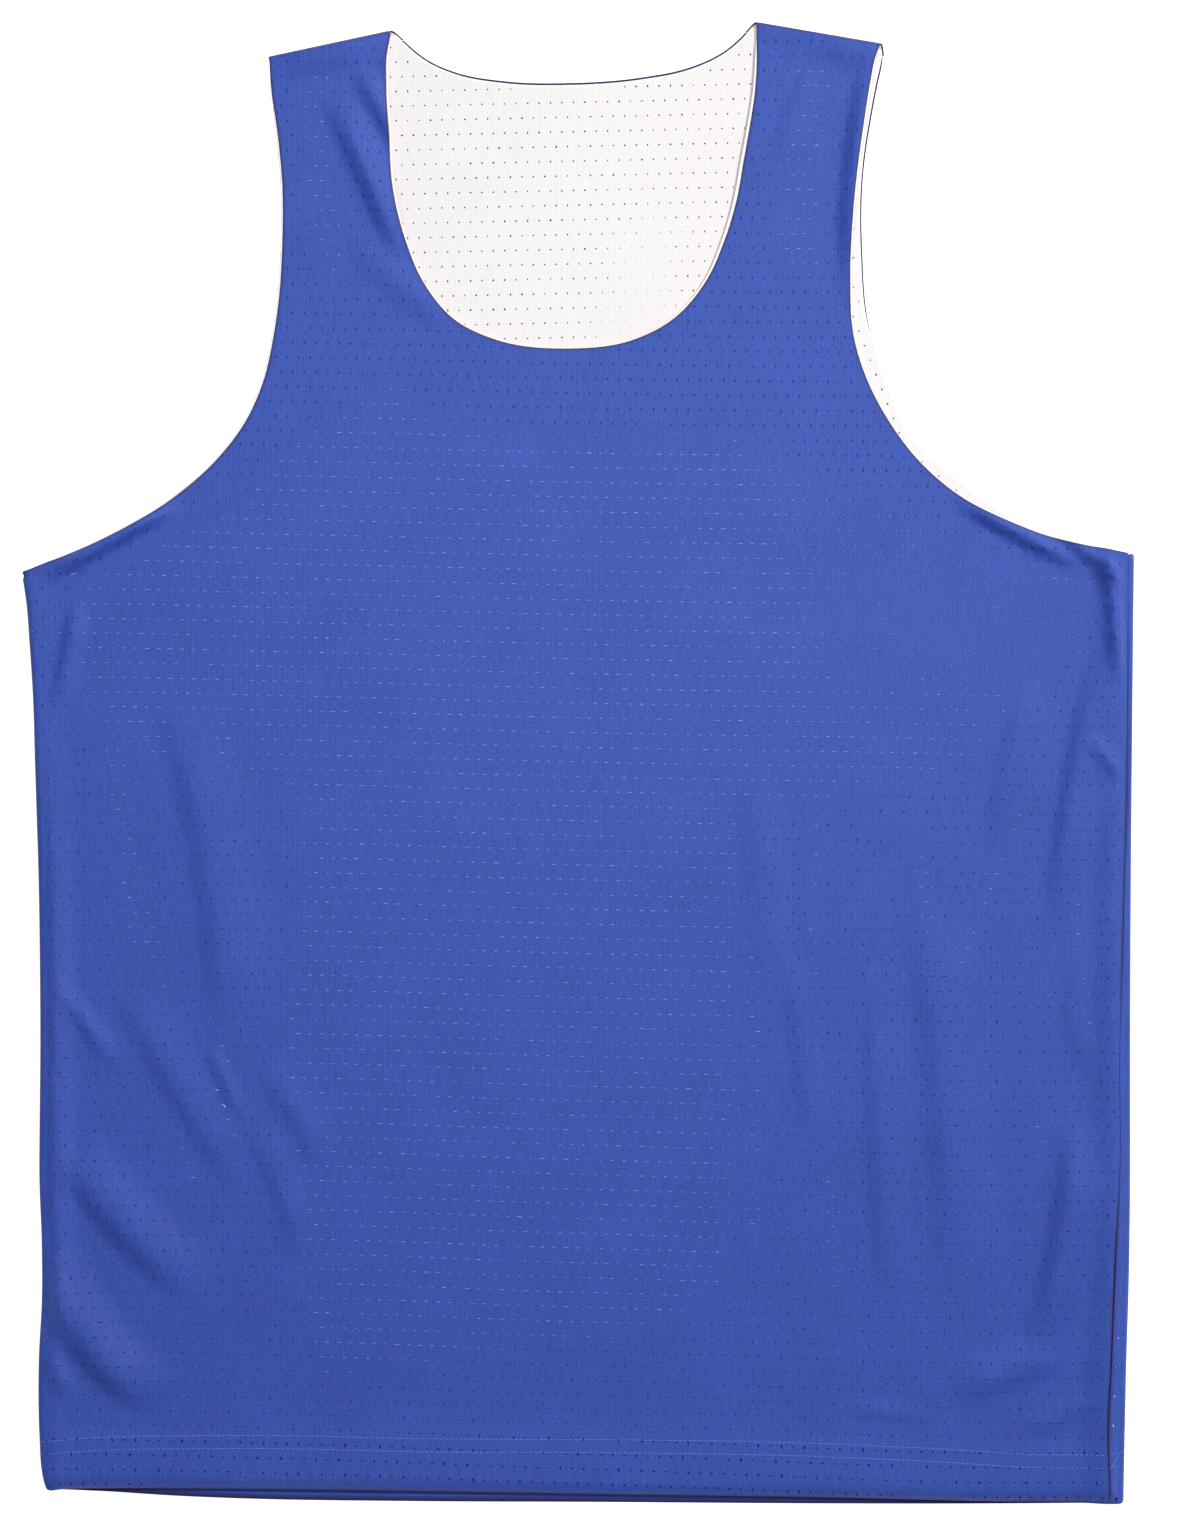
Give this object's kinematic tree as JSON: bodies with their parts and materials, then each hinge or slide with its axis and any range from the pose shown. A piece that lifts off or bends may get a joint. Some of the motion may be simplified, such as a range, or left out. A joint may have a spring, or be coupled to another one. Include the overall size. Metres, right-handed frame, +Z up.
{
  "type": "basketball jersey",
  "caption": "Sleeveless two-layer mesh basketball jersey laid flat, scooped neck and cut-in armholes, outer cloth over an inner cloth, stitched hem.",
  "frame": {"origin": "on the surface that the garment lies on, under the middle of its bounding box", "axes": "+X to the right of someone who looks down at the laid garment, +Y from the hem to the neck, +Z up from the surface"},
  "size_m": [0.5605, 0.7469, 0.0089],
  "materials": {
    "outer_mesh": "blue pin-hole polyester mesh with a slight sheen",
    "inner_mesh": "white pin-hole polyester mesh, matt"
  },
  "bodies": {
    "root": {"front_outer": "outer_mesh", "back_outer": "outer_mesh", "front_inner": "inner_mesh", "back_inner": "inner_mesh"}
  },
  "joints": []
}
